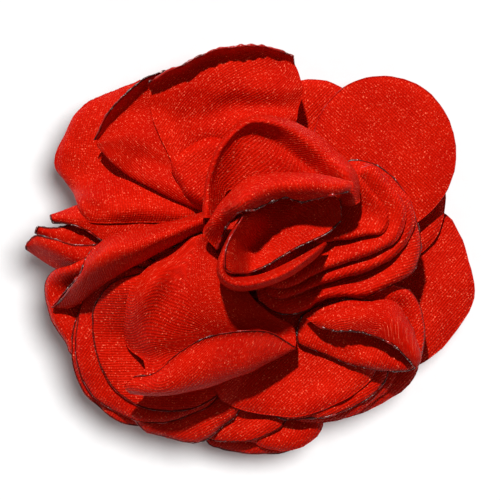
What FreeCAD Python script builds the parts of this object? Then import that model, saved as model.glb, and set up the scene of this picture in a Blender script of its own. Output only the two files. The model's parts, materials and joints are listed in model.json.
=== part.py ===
"""Satin flower hair clip: folded satin petals sewn on felt, with a sprung alligator clip glued behind.

Row frame, millimetres: +Z is the way the flower faces, +X runs along the clip towards its tip, and the
origin is on the surface that the clip's belly rests on, under the middle of the flower. Petals are
numbered from the bottom up. Each petal is a lobe of satin trimmed out of a thin dome or bowl. The bowls
nest: every petal lies a layer above the one before it and curls up a little more, so the stack is loose
and no two petals share any space.
"""
import FreeCAD, Part
import math
import os

import Sketcher
from FreeCAD import Placement, Rotation, Vector

DOC = FreeCAD.newDocument("FlowerHairClip")

DIMENSIONS = {
    # sheet metal clip
    "gauge": 0.7,
    "clip_width": 7.0,
    "handle_end": -21.0,
    "tip_end": 27.0,
    "hinge_along": -7.0,
    "hinge_height": 6.2,
    "ear_radius": 2.2,
    "upper_plate_top": 11.0,
    "ear_play": 0.05,
    "heel_height": 1.0,
    "heel_back": -11.5,
    "heel_front": -3.5,
    "belly_back": 2.5,
    "belly_front": 14.5,
    "lip_back": 25.2,
    "lip_height": 7.6,
    "tooth_valley": 9.1,
    "tooth_rise": 0.7,
    "tooth_gap": 0.1,
    "corner_round": 2.4,
    # hinge pin
    "pin_radius": 0.8,
    "pin_seat_play": 0.01,
    "pin_play": 0.05,
    "pin_head_radius": 1.4,
    "pin_head_height": 0.5,
    # torsion spring
    "wire_radius": 0.35,
    "coil_radius": 1.9,
    "coil_pitch": 0.82,
    "coil_turns": 3.5,
    "leg_length": 10.5,
    "leg_overlap": 0.3,
    "upper_leg_angle": 10.0,
    "lower_leg_angle": 15.5,
    # felt, glue and thread
    "glue_height": 0.5,
    "glue_length": 36.0,
    "glue_width": 5.6,
    "glue_middle": 3.0,
    "glue_end_radius": 2.7,
    "felt_radius": 22.0,
    "backing_height": 1.4,
    "base_height": 1.5,
    "keeper_back": 2.0,
    "keeper_length": 10.0,
    "keeper_reach": 10.0,
    "keeper_gauge": 0.8,
    "keeper_play": 0.05,
    "stitch_radius": 0.25,
    "stitch_length": 2.4,
    "thread_radius": 0.9,
    "thread_hole": 1.2,
    "knot_radius": 1.5,
    # petals
    "satin_gauge": 0.4,
    "layer_pitch": 0.6,
    "first_layer": 15.4,
    "petal_heel": 4.0,
    "room_above": 25.0,
}
STITCHES = 36
TEETH = 3

# Each petal: direction of its lobe in degrees, reach of its rim from the flower's axis, and half its width.
OUTER_PETALS = [
    (345.0, 56.2, 23.0),
    (20.0, 52.8, 21.5),
    (65.0, 45.2, 18.5),
    (142.0, 55.6, 21.8),
    (178.0, 54.9, 8.0),
    (196.0, 51.2, 21.5),
    (223.0, 53.0, 23.0),
    (241.0, 50.1, 20.5),
    (266.0, 50.2, 20.5),
    (278.0, 50.4, 18.0),
    (320.0, 49.5, 26.0),
    (168.0, 50.5, 8.5),
    (277.5, 48.0, 15.5),
    (307.0, 48.8, 23.0),
]
MIDDLE_PETALS = [
    (37.5, 58.2, 23.3),
    (129.0, 51.5, 21.0),
    (96.5, 50.3, 22.0),
    (223.0, 50.2, 22.0),
    (306.0, 45.5, 23.5),
    (191.0, 50.5, 18.5),
    (226.0, 47.8, 21.0),
    (300.0, 43.4, 22.0),
    (184.0, 49.0, 7.5),
    (326.0, 50.5, 10.0),
    (333.0, 49.0, 8.0),
]
INNER_PETALS = [
    (4.0, 41.5, 18.0),
    (234.0, 41.5, 19.0),
    (9.0, 38.0, 16.0),
    (340.0, 37.5, 12.0),
    (322.0, 41.5, 11.0),
    (127.0, 29.5, 10.0),
    (60.0, 33.5, 16.5),
    (14.0, 34.0, 14.0),
    (35.0, 27.0, 12.5),
    (300.0, 20.0, 9.5),
    (330.0, 17.0, 8.0),
]
# Bowl curvature at each whorl's first and last petal, in 1/mm: negative droops, positive curls up.
WHORLS = [
    ("outer_petal", OUTER_PETALS, (-0.0030, -0.0012)),
    ("middle_petal", MIDDLE_PETALS, (0.0006, 0.0030)),
    ("inner_petal", INNER_PETALS, (0.0036, 0.0160)),
]


def add_sheet():
    """Spreadsheet of driving dimensions, one alias to a row."""
    sheet = DOC.addObject("Spreadsheet::Sheet", "Dimensions")
    rows = dict(DIMENSIONS)
    layer = 0
    for name, petals, (first, last) in WHORLS:
        for i, (direction, reach, half_width) in enumerate(petals):
            curvature = first + (last - first) * i / (len(petals) - 1)
            petal = f"{name}_{i + 1:02d}"
            rows[petal + "_direction"] = direction
            rows[petal + "_reach"] = reach
            rows[petal + "_half_width"] = half_width
            rows[petal + "_bowl"] = round(1.0 / curvature, 2)
            rows[petal + "_layer"] = layer
            layer += 1
    rows["layers"] = layer
    for row, (alias, value) in enumerate(rows.items(), start=1):
        sheet.set(f"A{row}", alias)
        sheet.set(f"B{row}", str(value))
        sheet.setAlias(f"B{row}", alias)
    DOC.recompute()
    return sheet


SHEET = add_sheet()


def expression(text):
    """Expression with each word that is a sheet alias turned into a reference to its cell."""
    out, word = "", ""
    for character in text + " ":
        if character.isalnum() or character in "_.":
            word += character
            continue
        known = word and not word[0].isdigit() and SHEET.getCellFromAlias(word)
        out += ("Dimensions." + word if known else word) + character
        word = ""
    return out.strip()


def value(text):
    """Present value of an expression in sheet aliases."""
    return float(SHEET.evalExpression(expression(text)))


def bind(thing, **properties):
    """Bind properties of a document object to expressions; a double underscore stands for a dot."""
    for name, text in properties.items():
        thing.setExpression(name.replace("__", "."), expression(text))
    return thing


# ---------------------------------------------------------------- part design helpers


def new_body(label):
    body = DOC.addObject("PartDesign::Body", label)
    body.Label = label
    return body


def sketch_on(body, role, lift=None):
    """Empty sketch on one of the body's own origin planes, lifted along the plane's normal."""
    sketch = body.newObject("Sketcher::SketchObject", body.Name + "_sketch")
    plane = next(f for f in body.Origin.OriginFeatures if f.Role == role)
    sketch.AttachmentSupport = [(plane, "")]
    sketch.MapMode = "FlatFace"
    if lift:
        bind(sketch, AttachmentOffset__Base__z=lift)
    return sketch


def fix_point(sketch, geometry, position, across, up):
    """Hold a point of the sketch at the two distances from its origin that the expressions give."""
    for kind, text in (("DistanceX", across), ("DistanceY", up)):
        held = Sketcher.Constraint(kind, -1, 1, geometry, position, value(text))
        number = sketch.addConstraint(held)
        sketch.setExpression(f"Constraints[{number}]", expression(text))


def polygon(sketch, corners):
    """Closed polygon through corners, each a pair of expressions."""
    points = [Vector(value(x), value(y), 0) for x, y in corners]
    count = len(points)
    for i, point in enumerate(points):
        sketch.addGeometry(Part.LineSegment(point, points[(i + 1) % count]), False)
    for i in range(count):
        sketch.addConstraint(Sketcher.Constraint("Coincident", i, 2, (i + 1) % count, 1))
    for i, (x, y) in enumerate(corners):
        fix_point(sketch, i, 1, x, y)
    return sketch


def rectangle(sketch, left, right, low, high):
    return polygon(sketch, [(left, low), (right, low), (right, high), (left, high)])


def circle(sketch, x, y, radius):
    number = sketch.GeometryCount
    sketch.addGeometry(Part.Circle(Vector(value(x), value(y), 0), Vector(0, 0, 1), value(radius)), False)
    fix_point(sketch, number, 3, x, y)
    held = sketch.addConstraint(Sketcher.Constraint("Radius", number, value(radius)))
    sketch.setExpression(f"Constraints[{held}]", expression(radius))
    return sketch


def extrude(body, kind, sketch, length, symmetric=False, backwards=False):
    """Pad or Pocket of a sketch, to one side or evenly to both."""
    feature = body.newObject("PartDesign::" + kind, body.Name + "_" + kind.lower())
    feature.Profile = sketch
    feature.SideType = "Symmetric" if symmetric else "One side"
    feature.Reversed = backwards
    bind(feature, Length=length)
    before = body.Shape.Volume if body.Shape and not body.Shape.isNull() else 0.0
    DOC.recompute()
    grew = body.Shape.Volume - before
    if (grew <= 0) == (kind == "Pad"):
        raise RuntimeError(f"{feature.Name} changed {body.Label} by {grew:.3f} mm3")
    return feature


def round_edges(body, chosen, radius):
    """Fillet the body's edges that chosen(edge) picks."""
    feature = body.Tip
    picked = [f"Edge{i}" for i, edge in enumerate(feature.Shape.Edges, start=1) if chosen(edge)]
    fillet = body.newObject("PartDesign::Fillet", body.Name + "_round")
    fillet.Base = (feature, picked)
    bind(fillet, Radius=radius)
    DOC.recompute()
    return fillet


def is_corner(edge, along, tolerance=0.05):
    """True for a short edge through the sheet at one end of the clip."""
    middle = edge.CenterOfMass
    return (
        edge.Length < 1.3 * value("gauge")
        and abs(middle.x - along) < tolerance
        and abs(abs(middle.y) - value("clip_width") / 2) < tolerance
    )


def is_upright(edge):
    """True for a straight edge that stands along Z."""
    return abs(edge.tangentAt(edge.FirstParameter).z) > 0.99


# ---------------------------------------------------------------- the alligator clip


def ears(body, half_outside, half_inside, root_height, open_low, open_high):
    """Two ears round the hinge axis: a webbed boss padded to both sides, slotted in the middle."""
    back, front = "hinge_along - ear_radius", "hinge_along + ear_radius"
    web = sketch_on(body, "XZ_Plane")
    low, high = sorted([root_height, "hinge_height"], key=value)
    rectangle(web, back, front, low, high)
    extrude(body, "Pad", web, f"2 * ({half_outside})", symmetric=True)
    boss = sketch_on(body, "XZ_Plane")
    circle(boss, "hinge_along", "hinge_height", "ear_radius")
    extrude(body, "Pad", boss, f"2 * ({half_outside})", symmetric=True)
    slot = sketch_on(body, "XZ_Plane")
    rectangle(slot, back + " - 1", front + " + 1", open_low, open_high)
    extrude(body, "Pocket", slot, f"2 * ({half_inside})", symmetric=True)


def pin_hole(body, radius):
    hole = sketch_on(body, "XZ_Plane")
    circle(hole, "hinge_along", "hinge_height", radius)
    extrude(body, "Pocket", hole, "2 * clip_width", symmetric=True)


def toothed_lip(body, root, valley, point):
    """Lip across the tip of a jaw, its free edge cut into teeth."""
    step = f"clip_width / {2 * TEETH}"
    edge = [(f"{i} * {step} - clip_width / 2", point if i % 2 else valley) for i in range(2 * TEETH + 1)]
    lip = sketch_on(body, "YZ_Plane", "tip_end - gauge")
    polygon(lip, [("-clip_width / 2", root)] + edge + [("clip_width / 2", root)])
    extrude(body, "Pad", lip, "gauge")


def make_upper_jaw():
    """Flat jaw glued to the felt: plate, two ears down to the hinge, toothed lip."""
    body = new_body("upper_jaw")
    plate = sketch_on(body, "XY_Plane", "upper_plate_top - gauge")
    rectangle(plate, "handle_end", "tip_end", "-clip_width / 2", "clip_width / 2")
    extrude(body, "Pad", plate, "gauge")
    underside = "upper_plate_top - gauge"
    below_ears = "hinge_height - 2 * ear_radius"
    ears(body, "clip_width / 2", "clip_width / 2 - gauge", underside, below_ears, underside)
    pin_hole(body, "pin_radius + pin_seat_play")
    upper_teeth = "tooth_valley + tooth_gap"
    toothed_lip(body, "upper_plate_top - gauge / 2", upper_teeth, upper_teeth + " + tooth_rise")
    round_edges(body, lambda edge: is_corner(edge, value("handle_end")), "corner_round")
    return body


def mitre(rise, run):
    """How far the inner corner of a bend in the sheet lies along from its outer corner."""
    return f"gauge * tan(atan(({rise}) / ({run})) / 2)"


def make_lower_jaw():
    """Sprung jaw bent from one strip: handle, heel under the hinge, flat belly, rise to the toothed lip."""
    body = new_body("lower_jaw")
    at_handle = mitre("heel_height", "heel_back - handle_end")
    at_heel = mitre("heel_height", "belly_back - heel_front")
    at_rise = mitre("lip_height", "lip_back - belly_front")
    outline = [
        ("handle_end", "0"),
        ("heel_back", "heel_height"),
        ("heel_front", "heel_height"),
        ("belly_back", "0"),
        ("belly_front", "0"),
        ("lip_back", "lip_height"),
        ("tip_end", "lip_height"),
        ("tip_end", "lip_height + gauge"),
        (f"lip_back - {at_rise}", "lip_height + gauge"),
        (f"belly_front - {at_rise}", "gauge"),
        (f"belly_back + {at_heel}", "gauge"),
        (f"heel_front + {at_heel}", "heel_height + gauge"),
        (f"heel_back - {at_handle}", "heel_height + gauge"),
        ("handle_end", "gauge"),
    ]
    strip = sketch_on(body, "XZ_Plane")
    polygon(strip, outline)
    extrude(body, "Pad", strip, "clip_width", symmetric=True)
    half_outside = "clip_width / 2 - gauge - ear_play"
    root = "heel_height + gauge"
    ears(body, half_outside, half_outside + " - gauge", "heel_height + gauge / 2", root,
         "hinge_height + 2 * ear_radius")
    pin_hole(body, "pin_radius + pin_play")
    toothed_lip(body, "lip_height + gauge / 2", "tooth_valley", "tooth_valley + tooth_rise")
    round_edges(body, lambda edge: is_corner(edge, value("handle_end")), "corner_round")
    return body


def make_hinge_pin():
    """Riveted pin turned about the hinge axis."""
    body = new_body("hinge_pin")
    half = "clip_width / 2"
    end = "clip_width / 2 + pin_head_height"
    profile = [
        ("0", f"-({end})"),
        ("pin_head_radius", f"-({end})"),
        ("pin_head_radius", f"-{half}"),
        ("pin_radius", f"-{half}"),
        ("pin_radius", half),
        ("pin_head_radius", half),
        ("pin_head_radius", end),
        ("0", end),
    ]
    sketch = sketch_on(body, "XY_Plane")
    polygon(sketch, profile)
    turned = body.newObject("PartDesign::Revolution", "hinge_pin_turned")
    turned.Profile = sketch
    turned.ReferenceAxis = (sketch, ["V_Axis"])
    turned.Angle = 360
    bind(body, Placement__Base__x="hinge_along", Placement__Base__z="hinge_height")
    DOC.recompute()
    return body


def make_torsion_spring():
    """Wire coil round the pin, with a leg up to the fixed handle and a leg down to the moving one."""
    wire, radius, pitch = value("wire_radius"), value("coil_radius"), value("coil_pitch")
    lean_up = math.radians(value("upper_leg_angle"))
    lean_down = math.radians(value("lower_leg_angle"))
    sweep = value("coil_turns") * 2 * math.pi - lean_up - lean_down
    height = pitch * sweep / (2 * math.pi)
    helix = Part.makeHelix(pitch, height, radius)
    section = Part.makeCircle(wire, Vector(radius, 0, 0), Vector(0, radius, pitch / (2 * math.pi)))
    coil = Part.Wire(helix.Edges).makePipeShell([Part.Wire(section)], True, True)
    # The helix climbs +Z from the +X side; turn it so that it climbs +Y from where the upper leg leaves.
    upright = Rotation(Vector(1, 0, 0), -90)
    start = Rotation(Vector(0, 1, 0), math.degrees(lean_up) - 90)
    coil.Placement = Placement(Vector(0, -height / 2, 0), start.multiply(upright))
    shape = coil
    overlap = value("leg_overlap")
    for up, lean in ((1, lean_up), (-1, lean_down)):
        foot = Vector(radius * math.sin(lean), -up * height / 2, up * radius * math.cos(lean))
        way = Vector(-math.cos(lean), 0, up * math.sin(lean))
        leg = Part.makeCylinder(wire, value("leg_length") + overlap, foot - way * overlap, way)
        shape = shape.fuse(leg)
    spring = DOC.addObject("Part::Feature", "torsion_spring")
    spring.Label = "torsion_spring"
    spring.Shape = shape.removeSplitter()
    bind(spring, Placement__Base__x="hinge_along", Placement__Base__z="hinge_height")
    return spring


# ---------------------------------------------------------------- felt, glue and thread

BACKING_LOW = "upper_plate_top + glue_height"
BASE_LOW = "upper_plate_top + glue_height + backing_height"


def make_glue_pad():
    body = new_body("glue_pad")
    sketch = sketch_on(body, "XY_Plane", "upper_plate_top")
    back, front = "glue_middle - glue_length / 2", "glue_middle + glue_length / 2"
    rectangle(sketch, back, front, "-glue_width / 2", "glue_width / 2")
    extrude(body, "Pad", sketch, "glue_height")
    round_edges(body, is_upright, "glue_end_radius")
    return body


def make_felt_disc(label, low, height, hole=None):
    body = new_body(label)
    sketch = sketch_on(body, "XY_Plane", low)
    circle(sketch, "0", "0", "felt_radius")
    if hole:
        circle(sketch, "0", "0", hole)
    extrude(body, "Pad", sketch, height)
    return body


def make_keeper_strip():
    """Felt strip glued across the fixed jaw, inside the mouth, so that the jaw can't peel off."""
    body = new_body("keeper_strip")
    top = BACKING_LOW
    inside = "clip_width / 2 + keeper_play"
    outside = "clip_width / 2 + keeper_play + keeper_gauge"
    under = "upper_plate_top - gauge - keeper_play"
    outline = [
        (inside, top),
        (inside, under),
        (f"-({inside})", under),
        (f"-({inside})", top),
        ("-keeper_reach", top),
        ("-keeper_reach", f"{top} - keeper_gauge"),
        (f"-({outside})", f"{top} - keeper_gauge"),
        (f"-({outside})", f"{under} - keeper_gauge"),
        (outside, f"{under} - keeper_gauge"),
        (outside, f"{top} - keeper_gauge"),
        ("keeper_reach", f"{top} - keeper_gauge"),
        ("keeper_reach", top),
    ]
    sketch = sketch_on(body, "YZ_Plane", "keeper_back")
    polygon(sketch, outline)
    extrude(body, "Pad", sketch, "keeper_length")
    return body


def make_edge_stitches():
    """Whip stitches over the edge of the two felt discs: short bars of thread standing round the rim."""
    length, radius = value("stitch_length"), value("stitch_radius")
    low = value(BACKING_LOW) + (value("backing_height") + value("base_height") - length) / 2
    away = value("felt_radius") + radius
    stitches = []
    for i in range(STITCHES):
        turn = 2 * math.pi * i / STITCHES
        foot = Vector(away * math.cos(turn), away * math.sin(turn), low)
        stitches.append(Part.makeCylinder(radius, length, foot))
    feature = DOC.addObject("Part::Feature", "edge_stitches")
    feature.Label = "edge_stitches"
    feature.Shape = Part.makeCompound(stitches)
    return feature


def make_stitching_thread():
    """Thread up through every petal's heel, with its knot on top of the last one."""
    knot_middle = "first_layer + layer_pitch * layers + knot_radius"
    core = bind(DOC.addObject("Part::Cylinder", "thread_core"), Radius="thread_radius",
                Height=f"{knot_middle} - ({BASE_LOW})", Placement__Base__z=BASE_LOW)
    knot = bind(DOC.addObject("Part::Sphere", "thread_knot"), Radius="knot_radius",
                Placement__Base__z=knot_middle)
    thread = DOC.addObject("Part::Fuse", "stitching_thread")
    thread.Base, thread.Tool = core, knot
    thread.Label = "stitching_thread"
    return thread


# ---------------------------------------------------------------- petals


def two_of(kind, label, base, tool):
    """Part boolean of two document objects."""
    result = DOC.addObject("Part::" + kind, label)
    result.Base, result.Tool = base, tool
    return result


def make_petal(label):
    """One lobe of satin: an ellipse, from just past the axis out to the rim, cut from a thin bowl."""
    size = label + "_"
    bowl_is_up = value(size + "bowl") > 0
    base = f"first_layer + layer_pitch * {size}layer"
    centre = f"{base} + {size}bowl" if bowl_is_up else f"{base} + satin_gauge + {size}bowl"
    outer = bind(DOC.addObject("Part::Sphere", size + "outside"),
                 Radius=f"abs({size}bowl)", Placement__Base__z=centre)
    inner = bind(DOC.addObject("Part::Sphere", size + "inside"),
                 Radius=f"abs({size}bowl) - satin_gauge", Placement__Base__z=centre)
    bowl = two_of("Cut", size + "bowl_shell", outer, inner)

    middle = f"(({size}reach - petal_heel) / 2)"
    outline = bind(DOC.addObject("Part::Ellipse", size + "outline"),
                   MajorRadius=f"({size}reach + petal_heel) / 2", MinorRadius=f"{size}half_width",
                   Placement__Base__x=f"{middle} * cos({size}direction * 1 deg)",
                   Placement__Base__y=f"{middle} * sin({size}direction * 1 deg)",
                   Placement__Rotation__Angle=f"{size}direction * 1 deg")
    lobe = DOC.addObject("Part::Extrusion", size + "lobe")
    lobe.Base = outline
    lobe.DirMode = "Custom"
    lobe.Dir = Vector(0, 0, 1)
    lobe.Solid = True
    bind(lobe, LengthFwd="first_layer + layer_pitch * layers + room_above")

    satin = two_of("Common", size + "satin", bowl, lobe)
    hole = bind(DOC.addObject("Part::Cylinder", size + "hole"), Radius="thread_hole",
                Height="first_layer + layer_pitch * layers + room_above")
    petal = two_of("Cut", label, satin, hole)
    petal.Label = label
    return petal


# ---------------------------------------------------------------- assembly and export


def check_document():
    for thing in DOC.Objects:
        if any(word in state for state in thing.State for word in ("Invalid", "Error")):
            raise RuntimeError(f"{thing.Name} failed: {thing.State}")


def export(thing):
    shape = thing.Shape
    if shape.isNull() or not shape.isValid() or not shape.Solids:
        raise RuntimeError(f"{thing.Label} has no valid solid")
    shape.exportStep(os.path.join("parts", thing.Label + ".step"))
    box = shape.BoundBox
    print(f"{thing.Label:18s} {len(shape.Solids)} solid(s) {shape.Volume:9.2f} mm3  "
          f"{box.XLength:6.1f} x {box.YLength:6.1f} x {box.ZLength:5.2f} mm")


def main():
    pieces = [
        make_upper_jaw(),
        make_lower_jaw(),
        make_hinge_pin(),
        make_torsion_spring(),
        make_glue_pad(),
        make_keeper_strip(),
        make_felt_disc("backing_disc", BACKING_LOW, "backing_height"),
        make_felt_disc("base_disc", BASE_LOW, "base_height", "thread_hole"),
        make_edge_stitches(),
        make_stitching_thread(),
    ]
    for name, petals, _ in WHORLS:
        pieces += [make_petal(f"{name}_{i + 1:02d}") for i in range(len(petals))]
    DOC.recompute()
    check_document()
    os.makedirs("parts", exist_ok=True)
    for piece in pieces:
        export(piece)


main()
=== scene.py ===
"""Looks of the satin flower hair clip: folded petals, felt backing, thread, glue and steel."""

import json
import math

import bpy
import numpy as np
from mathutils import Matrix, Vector


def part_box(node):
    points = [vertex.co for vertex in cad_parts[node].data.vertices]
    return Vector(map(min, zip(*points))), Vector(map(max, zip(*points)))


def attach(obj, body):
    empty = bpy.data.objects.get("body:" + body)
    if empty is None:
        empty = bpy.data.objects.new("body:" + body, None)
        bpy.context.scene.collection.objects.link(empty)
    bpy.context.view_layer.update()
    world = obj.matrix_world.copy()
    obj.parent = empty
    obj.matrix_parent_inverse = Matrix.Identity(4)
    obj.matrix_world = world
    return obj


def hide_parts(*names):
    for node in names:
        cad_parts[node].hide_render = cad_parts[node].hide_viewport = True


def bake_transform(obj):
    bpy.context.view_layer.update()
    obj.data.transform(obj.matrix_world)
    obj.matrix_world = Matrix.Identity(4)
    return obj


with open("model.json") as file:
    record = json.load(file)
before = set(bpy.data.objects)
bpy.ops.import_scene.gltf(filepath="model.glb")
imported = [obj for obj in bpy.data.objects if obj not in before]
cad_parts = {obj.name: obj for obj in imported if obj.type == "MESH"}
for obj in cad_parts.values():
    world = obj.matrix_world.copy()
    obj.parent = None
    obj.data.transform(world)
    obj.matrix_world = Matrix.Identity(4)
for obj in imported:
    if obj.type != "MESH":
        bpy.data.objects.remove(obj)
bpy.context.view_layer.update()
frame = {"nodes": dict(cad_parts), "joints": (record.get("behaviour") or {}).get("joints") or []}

MM = 0.001
TAU = 2 * math.pi

# Cloth and petal meshes, millimetres
SATIN_GAUGE = 0.34
ACROSS = 72
ALONG = 44
BEAD_RADIUS = 0.14
BEAD_LIMITS = (0.07, 0.52)
LAYER_GAP = 0.55
RIB_PITCH = 0.62
FOLD_LENGTH = 17.0
CREASE_LENGTH = 6.0

# How far below the topmost cloth at the flower's axis its sewing thread stops, millimetres
THREAD_COVER = 1.5

FELT_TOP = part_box("base_disc")[1][2] / MM
FELT_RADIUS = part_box("base_disc")[1][0] / MM


# ---- curves and surfaces


def curve(points, count, closed=False):
    """count evenly spaced points, or rows of points, on a Catmull-Rom curve through the given ones."""
    p = np.asarray(points, float)
    if closed:
        p = np.concatenate([p[-1:], p, p[:2]])
    else:
        p = np.concatenate([2 * p[:1] - p[1:2], p, 2 * p[-1:] - p[-2:-1]])
    t = np.linspace(0, 1, 12, endpoint=False).reshape((-1,) + (1,) * (p.ndim - 1))
    parts = []
    for a, b, c, d in zip(p, p[1:], p[2:], p[3:]):
        cubic = (3 * b - a - 3 * c + d) * t ** 3
        parts.append(0.5 * (2 * b + (c - a) * t + (2 * a - 5 * b + 4 * c - d) * t ** 2 + cubic))
    fine = np.concatenate(parts + [p[-2:-1]])
    step = np.linalg.norm(np.diff(fine, axis=0), axis=-1)
    while step.ndim > 1:
        step = step.mean(axis=-1)
    along = np.concatenate([[0], np.cumsum(step)])
    at = np.linspace(0, along[-1], count, endpoint=not closed)
    i = np.clip(np.searchsorted(along, at, side="right") - 1, 0, len(along) - 2)
    f = ((at - along[i]) / np.maximum(along[i + 1] - along[i], 1e-9)).reshape((-1,) + (1,) * (p.ndim - 1))
    return fine[i] * (1 - f) + fine[i + 1] * f


def loft(rows, closed=False):
    """Grid of points, ALONG rows by ACROSS columns, on the smooth surface through rows of points."""
    return curve([curve(row, ACROSS, closed) for row in rows], ALONG)


# Rings of a lobe: share of the way out to its outline, and of the rise from its middle to its rim
LOBE_PROFILE = ((0.004, 0.0), (0.4, 0.15), (0.75, 0.55), (0.92, 0.9), (1.0, 1.0))


def lobe_rows(outline, centre, middle_z, rim_z, roll):
    """Rings from a lobe's centre out to its outline, rising to a rolled crest just inside the rim."""
    outline = np.asarray(outline, float)
    middle = np.asarray(centre, float)
    rows = []
    for share, height in LOBE_PROFILE:
        z = np.full((len(outline), 1), middle_z + (rim_z - middle_z) * height)
        z = z + roll * math.sin(math.pi * min(1.0, share ** 4)) * 1.6
        rows.append(np.hstack([middle + (outline - middle) * share, z]))
    return rows


def circle_outline(centre, radius, seed):
    """Hand-cut circle: 14 points with a little unevenness."""
    r = np.random.default_rng(seed)
    turn = np.linspace(0, TAU, 14, endpoint=False)
    away = radius * (1 + r.uniform(-0.015, 0.015, 14))
    return np.stack([centre[0] + away * np.cos(turn), centre[1] + away * np.sin(turn)], axis=1)


def ripples(xy, seed, wavelength):
    """Smooth random waves over the plane, about 1 high."""
    r = np.random.default_rng(seed)
    total = np.zeros(xy.shape[:-1])
    for _ in range(7):
        way, k = r.uniform(0, TAU), TAU / (wavelength * r.uniform(0.7, 1.7))
        total += np.sin(k * (xy[..., 0] * math.cos(way) + xy[..., 1] * math.sin(way)) + r.uniform(0, TAU))
    return total / math.sqrt(7)


def normals(grid, closed):
    """Unit normals of a grid of points."""
    if closed:
        across = np.roll(grid, -1, axis=1) - np.roll(grid, 1, axis=1)
    else:
        across = np.gradient(grid, axis=1)
    n = np.cross(across, np.gradient(grid, axis=0))
    return n / np.maximum(np.linalg.norm(n, axis=-1, keepdims=True), 1e-9)


# ---- laying petals on one another


class Stack:
    """Height of everything laid so far, on a square grid over the flower, in millimetres."""

    cell = 0.5
    half = 66.0

    def __init__(self):
        self.size = int(2 * self.half / self.cell)
        at = (np.arange(self.size) + 0.5) * self.cell - self.half
        over_felt = np.hypot(*np.meshgrid(at, at)) < FELT_RADIUS
        self.top = np.where(over_felt, FELT_TOP, 0.0)

    def index(self, points):
        at = np.clip(((points[..., :2] + self.half) / self.cell).astype(int), 0, self.size - 1)
        return at[..., 0] * self.size + at[..., 1]

    def dense(self, grid, closed):
        if closed:
            grid = np.concatenate([grid, grid[:, :1]], axis=1)
        for axis in (0, 1, 0, 1):
            a, b = (grid[:-1], grid[1:]) if axis == 0 else (grid[:, :-1], grid[:, 1:])
            middle = (a + b) / 2
            shape = list(grid.shape)
            shape[axis] += middle.shape[axis]
            out = np.empty(shape)
            out[(slice(None),) * axis + (slice(0, None, 2),)] = grid
            out[(slice(None),) * axis + (slice(1, None, 2),)] = middle
            grid = out
        return grid.reshape(-1, 3)

    def grow(self, field, steps):
        for _ in range(steps):
            field = np.maximum.reduce([field] + [np.roll(field, s, axis=a) for s in (-1, 1) for a in (0, 1)])
        return field

    def blur(self, field, steps):
        for _ in range(steps):
            for axis in (0, 1):
                field = (np.roll(field, 1, axis) + 2 * field + np.roll(field, -1, axis)) / 4
        return field

    def sample(self, field, points):
        at = np.clip((points[..., :2] + self.half) / self.cell - 0.5, 0, self.size - 1.001)
        i, f = at.astype(int), at - at.astype(int)
        x, y, fx, fy = i[..., 0], i[..., 1], f[..., 0], f[..., 1]
        near = field[x, y] * (1 - fy) + field[x, y + 1] * fy
        far = field[x + 1, y] * (1 - fy) + field[x + 1, y + 1] * fy
        return near * (1 - fx) + far * fx

    def lay(self, grid, closed, spread=6):
        """Lift a petal clear of what lies under it, then add it to the stack."""
        points = self.dense(grid, closed)
        low = np.full(self.size ** 2, np.inf)
        np.minimum.at(low, self.index(points), points[:, 2])
        low = low.reshape(self.top.shape)
        need = np.where(np.isfinite(low), np.maximum(self.top + LAYER_GAP - low, 0), 0)
        lift = self.blur(self.grow(need, spread), 3 * spread)
        grid = grid.copy()
        grid[..., 2] += self.sample(lift, grid)
        points = self.dense(grid, closed)
        flat = self.top.ravel().copy()
        np.maximum.at(flat, self.index(points), points[:, 2])
        self.top = flat.reshape(self.top.shape)
        return grid


# ---- materials


def material(name, build):
    """Node material whose Principled shader build() sets up."""
    made = bpy.data.materials.new(name)
    made.use_nodes = True
    build(made.node_tree, made.node_tree.nodes["Principled BSDF"])
    return made


def node(tree, kind, inputs=None, **settings):
    """Add a node, set its properties, and set or link its inputs."""
    made = tree.nodes.new("ShaderNode" + kind)
    for key, setting in settings.items():
        setattr(made, key, setting)
    for key, given in (inputs or {}).items():
        if isinstance(given, bpy.types.NodeSocket):
            tree.links.new(given, made.inputs[key])
        else:
            made.inputs[key].default_value = given
    return made


def ramp(tree, factor, *stops):
    """Colour ramp over (position, colour) stops."""
    made = node(tree, "ValToRGB", {"Fac": factor})
    elements = made.color_ramp.elements
    while len(elements) < len(stops):
        elements.new(0.5)
    for element, (position, colour) in zip(elements, stops):
        element.position = position
        element.color = (*colour, 1) if len(colour) == 3 else colour
    return made.outputs["Color"]


def mix(tree, factor, a, b, how="MIX"):
    """Blend of two colours, each a socket or a colour."""
    made = node(tree, "Mix", data_type="RGBA", blend_type=how)
    for key, given in ((0, factor), (6, a), (7, b)):
        if isinstance(given, bpy.types.NodeSocket):
            tree.links.new(given, made.inputs[key])
        else:
            made.inputs[key].default_value = given if key == 0 else (*given, 1)
    return made.outputs[2]


def math_node(tree, operation, a, b=0.0):
    """Result of arithmetic on two sockets or numbers."""
    return node(tree, "Math", {0: a, 1: b}, operation=operation).outputs[0]


def place(tree):
    """Position on the piece, metres."""
    return node(tree, "TexCoord").outputs["Object"]


def noise(tree, at, scale, detail, **more):
    """Noise over a position."""
    return node(tree, "TexNoise", {"Vector": at, "Scale": scale, "Detail": detail, **more}).outputs["Fac"]


def settle(shader, constants):
    """Set the shader's constant inputs."""
    for key, value in constants.items():
        shader.inputs[key].default_value = value


def relief(tree, shader, height, strength, distance):
    """Bumps on a shader's surface."""
    bump = node(tree, "Bump", {"Strength": strength, "Distance": distance, "Height": height})
    tree.links.new(bump.outputs["Normal"], shader.inputs["Normal"])


RED = (0.50, 0.0036, 0.0004)
BRIGHT_RED = (0.62, 0.008, 0.0009)
DEEP_RED = (0.30, 0.0022, 0.0004)
SINGED = (0.045, 0.004, 0.003)
PAINTED_GLINT = (0.80, 0.30, 0.15)
PALE_PAINTED_GLINT = (0.80, 0.66, 0.60)
BLACK = (0, 0, 0)
WHITE = (1, 1, 1)


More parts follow.
